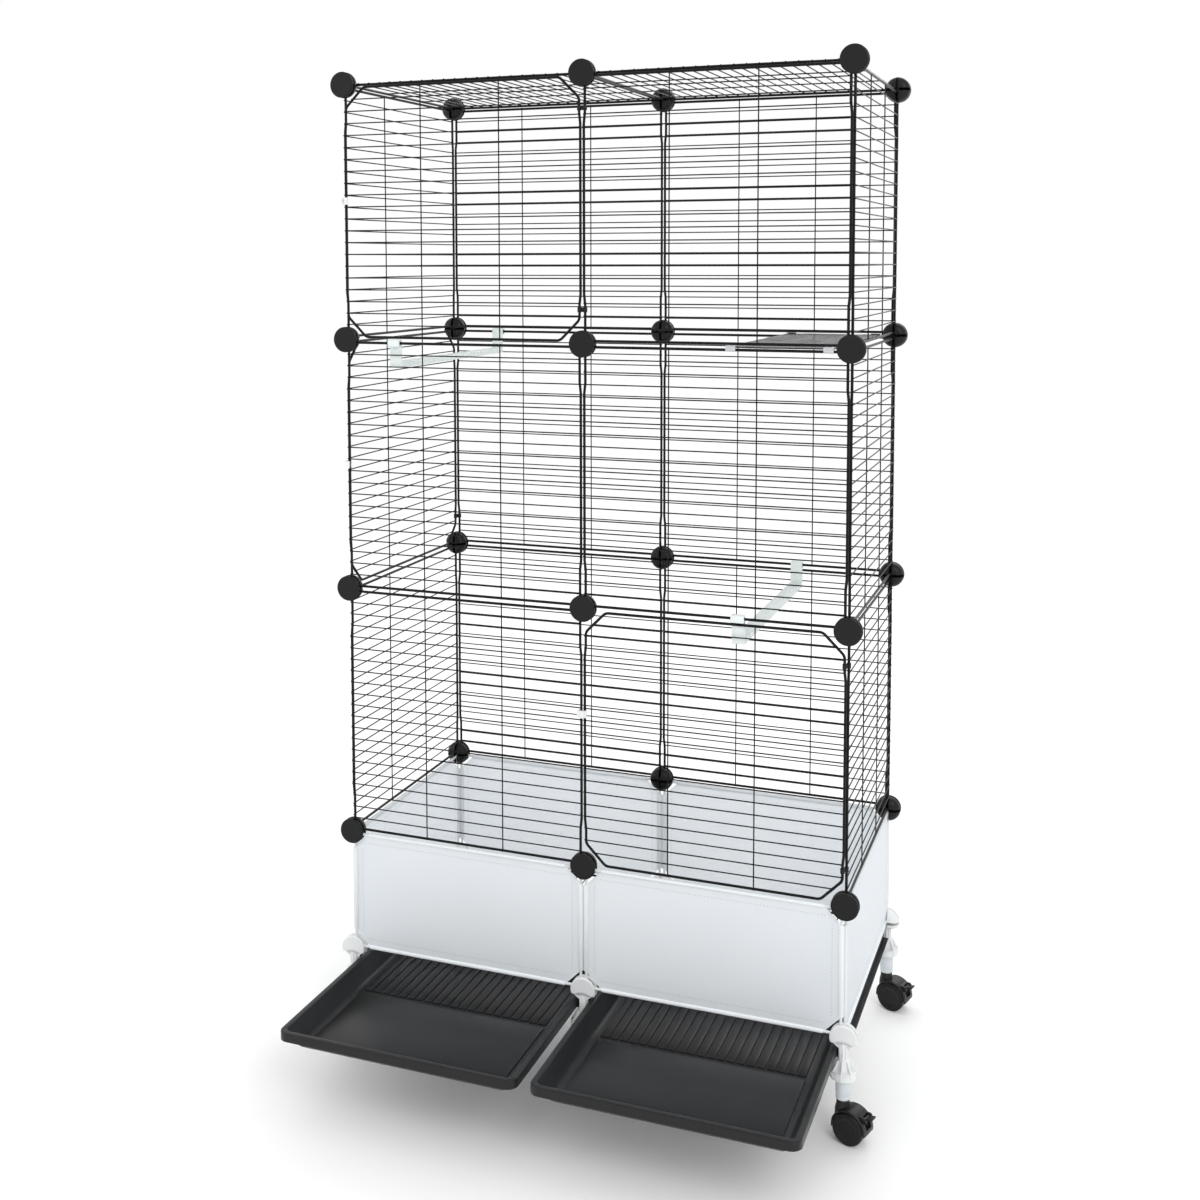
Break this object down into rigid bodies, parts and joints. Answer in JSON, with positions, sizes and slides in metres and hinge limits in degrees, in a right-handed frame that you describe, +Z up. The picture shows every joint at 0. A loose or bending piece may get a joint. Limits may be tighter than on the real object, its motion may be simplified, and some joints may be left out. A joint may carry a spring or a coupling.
{
  "type": "parrot cage",
  "caption": "Tall wire-panel parrot cage with round panel connectors, white skirt panels, wire doors with snap latches, pull-out droppings trays, hook-on perches and braked castors",
  "frame": {"origin": "on the floor under the middle of the cage (trays not counted)", "axes": "+Z up, front with the trays at -Y, +X to the right seen from the front"},
  "size_m": [0.7714, 0.6025, 1.389],
  "materials": {
    "black_wire": "satin black coated steel wire",
    "black_plastic": "satin black moulded plastic",
    "white_wire": "white coated steel wire",
    "white_sheet": "pale bluish white plastic sheet",
    "white_plastic": "white moulded plastic",
    "latch_plastic": "white moulded plastic",
    "wheel_plastic": "black wheel plastic",
    "castor_plastic": "black moulded plastic",
    "runner_metal": "dark grey coated steel strip",
    "tray_plastic": "satin black moulded plastic",
    "perch_plastic": "pale greenish white plastic",
    "platform_board": "glossy dark board",
    "clip_steel": "bright sheet steel"
  },
  "bodies": {
    "cage": {"back_grid_low_left": "black_wire", "back_grid_low_right": "black_wire", "back_grid_middle_left": "black_wire", "back_grid_middle_right": "black_wire", "back_grid_top_left": "black_wire", "back_grid_top_right": "black_wire", "back_skirt_left": "white_sheet", "back_skirt_right": "white_sheet", "castor_sleeves": "white_plastic", "door_hinge_clips": "black_plastic", "floor_grids": "black_wire", "foot_posts": "white_plastic", "front_grid_low_left": "black_wire", "front_grid_middle_left": "black_wire", "front_grid_middle_right": "black_wire", "front_grid_top_right": "black_wire", "front_skirt_left": "white_sheet", "front_skirt_right": "white_sheet", "left_grid_low": "black_wire", "left_grid_top": "black_wire", "left_skirt": "white_sheet", "panel_connectors": "black_plastic", "perch_high": "perch_plastic", "perch_low": "perch_plastic", "platform_clips": "clip_steel", "rest_platform": "platform_board", "right_grid_low": "black_wire", "right_grid_middle": "black_wire", "right_grid_top": "black_wire", "right_skirt": "white_sheet", "roof_grids": "black_wire", "skirt_frames": "white_wire", "tray_runners": "runner_metal"},
    "front_left_castor": {"front_left_castor_hood": "castor_plastic"},
    "front_left_wheels": {"front_left_castor_wheels": "wheel_plastic"},
    "front_left_pedal": {"front_left_brake_pedal": "castor_plastic"},
    "back_left_castor": {"back_left_castor_hood": "castor_plastic"},
    "back_left_wheels": {"back_left_castor_wheels": "wheel_plastic"},
    "back_left_pedal": {"back_left_brake_pedal": "castor_plastic"},
    "front_middle_castor": {"front_middle_castor_hood": "castor_plastic"},
    "front_middle_wheels": {"front_middle_castor_wheels": "wheel_plastic"},
    "front_middle_pedal": {"front_middle_brake_pedal": "castor_plastic"},
    "back_middle_castor": {"back_middle_castor_hood": "castor_plastic"},
    "back_middle_wheels": {"back_middle_castor_wheels": "wheel_plastic"},
    "back_middle_pedal": {"back_middle_brake_pedal": "castor_plastic"},
    "front_right_castor": {"front_right_castor_hood": "castor_plastic"},
    "front_right_wheels": {"front_right_castor_wheels": "wheel_plastic"},
    "front_right_pedal": {"front_right_brake_pedal": "castor_plastic"},
    "back_right_castor": {"back_right_castor_hood": "castor_plastic"},
    "back_right_wheels": {"back_right_castor_wheels": "wheel_plastic"},
    "back_right_pedal": {"back_right_brake_pedal": "castor_plastic"},
    "front_door_top": {"front_door_top": "black_wire"},
    "latch_front_top": {"latch_front_top": "latch_plastic"},
    "front_door_low": {"front_door_low": "black_wire"},
    "latch_front_low": {"latch_front_low": "latch_plastic"},
    "side_door": {"side_door": "black_wire"},
    "latch_side": {"latch_side": "latch_plastic"},
    "tray_left": {"tray_left": "tray_plastic"},
    "tray_right": {"tray_right": "tray_plastic"}
  },
  "joints": [
    {"name": "front_left_swivel", "type": "hinge", "parent": "cage", "child": "front_left_castor", "pos_m": [-0.355, -0.1805, 0.055], "axis": [0, 0, 1], "continuous": true},
    {"name": "front_left_roll", "type": "hinge", "parent": "front_left_castor", "child": "front_left_wheels", "pos_m": [-0.34257, -0.1843, 0.021], "axis": [0.2924, 0.9563, 0], "continuous": true},
    {"name": "front_left_brake", "type": "hinge", "parent": "front_left_castor", "child": "front_left_pedal", "pos_m": [-0.32296, -0.19029, 0.0375], "axis": [0.2924, 0.9563, 0], "range_deg": [0, 20]},
    {"name": "back_left_swivel", "type": "hinge", "parent": "cage", "child": "back_left_castor", "pos_m": [-0.355, 0.1805, 0.055], "axis": [0, 0, 1], "continuous": true},
    {"name": "back_left_roll", "type": "hinge", "parent": "back_left_castor", "child": "back_left_wheels", "pos_m": [-0.34257, 0.1767, 0.021], "axis": [0.2924, 0.9563, 0], "continuous": true},
    {"name": "back_left_brake", "type": "hinge", "parent": "back_left_castor", "child": "back_left_pedal", "pos_m": [-0.32296, 0.17071, 0.0375], "axis": [0.2924, 0.9563, 0], "range_deg": [0, 20]},
    {"name": "front_middle_swivel", "type": "hinge", "parent": "cage", "child": "front_middle_castor", "pos_m": [0, -0.1805, 0.055], "axis": [0, 0, 1], "continuous": true},
    {"name": "front_middle_roll", "type": "hinge", "parent": "front_middle_castor", "child": "front_middle_wheels", "pos_m": [0.01243, -0.1843, 0.021], "axis": [0.2924, 0.9563, 0], "continuous": true},
    {"name": "front_middle_brake", "type": "hinge", "parent": "front_middle_castor", "child": "front_middle_pedal", "pos_m": [0.03204, -0.19029, 0.0375], "axis": [0.2924, 0.9563, 0], "range_deg": [0, 20]},
    {"name": "back_middle_swivel", "type": "hinge", "parent": "cage", "child": "back_middle_castor", "pos_m": [0, 0.1805, 0.055], "axis": [0, 0, 1], "continuous": true},
    {"name": "back_middle_roll", "type": "hinge", "parent": "back_middle_castor", "child": "back_middle_wheels", "pos_m": [0.01243, 0.1767, 0.021], "axis": [0.2924, 0.9563, 0], "continuous": true},
    {"name": "back_middle_brake", "type": "hinge", "parent": "back_middle_castor", "child": "back_middle_pedal", "pos_m": [0.03204, 0.17071, 0.0375], "axis": [0.2924, 0.9563, 0], "range_deg": [0, 20]},
    {"name": "front_right_swivel", "type": "hinge", "parent": "cage", "child": "front_right_castor", "pos_m": [0.355, -0.1805, 0.055], "axis": [0, 0, 1], "continuous": true},
    {"name": "front_right_roll", "type": "hinge", "parent": "front_right_castor", "child": "front_right_wheels", "pos_m": [0.36743, -0.1843, 0.021], "axis": [0.2924, 0.9563, 0], "continuous": true},
    {"name": "front_right_brake", "type": "hinge", "parent": "front_right_castor", "child": "front_right_pedal", "pos_m": [0.38704, -0.19029, 0.0375], "axis": [0.2924, 0.9563, 0], "range_deg": [0, 20]},
    {"name": "back_right_swivel", "type": "hinge", "parent": "cage", "child": "back_right_castor", "pos_m": [0.355, 0.1805, 0.055], "axis": [0, 0, 1], "continuous": true},
    {"name": "back_right_roll", "type": "hinge", "parent": "back_right_castor", "child": "back_right_wheels", "pos_m": [0.36743, 0.1767, 0.021], "axis": [0.2924, 0.9563, 0], "continuous": true},
    {"name": "back_right_brake", "type": "hinge", "parent": "back_right_castor", "child": "back_right_pedal", "pos_m": [0.38704, 0.17071, 0.0375], "axis": [0.2924, 0.9563, 0], "range_deg": [0, 20]},
    {"name": "front_door_top_hinge", "type": "hinge", "parent": "cage", "child": "front_door_top", "pos_m": [-0.004, -0.1805, 1.1935], "axis": [0, 0, 1], "range_deg": [0, 110]},
    {"name": "latch_front_top_turn", "type": "hinge", "parent": "front_door_top", "child": "latch_front_top", "pos_m": [-0.3525, -0.1805, 1.21002], "axis": [0, 0, 1], "range_deg": [0, 90]},
    {"name": "front_door_low_hinge", "type": "hinge", "parent": "cage", "child": "front_door_low", "pos_m": [0.351, -0.1805, 0.4835], "axis": [0, 0, 1], "range_deg": [0, 110]},
    {"name": "latch_front_low_turn", "type": "hinge", "parent": "front_door_low", "child": "latch_front_low", "pos_m": [0.0025, -0.1805, 0.51655], "axis": [0, 0, 1], "range_deg": [0, 90]},
    {"name": "side_door_hinge", "type": "hinge", "parent": "cage", "child": "side_door", "pos_m": [-0.355, 0.1735, 0.8385], "axis": [0, 0, -1], "range_deg": [0, 110]},
    {"name": "latch_side_turn", "type": "hinge", "parent": "side_door", "child": "latch_side", "pos_m": [-0.355, -0.175, 0.8385], "axis": [0, 0, -1], "range_deg": [0, 90]},
    {"name": "tray_left_slide", "type": "slide", "parent": "cage", "child": "tray_left", "axis": [0, -1, 0], "range_m": [-0.212, 0.05]},
    {"name": "tray_right_slide", "type": "slide", "parent": "cage", "child": "tray_right", "axis": [0, -1, 0], "range_m": [-0.212, 0.05]}
  ]
}
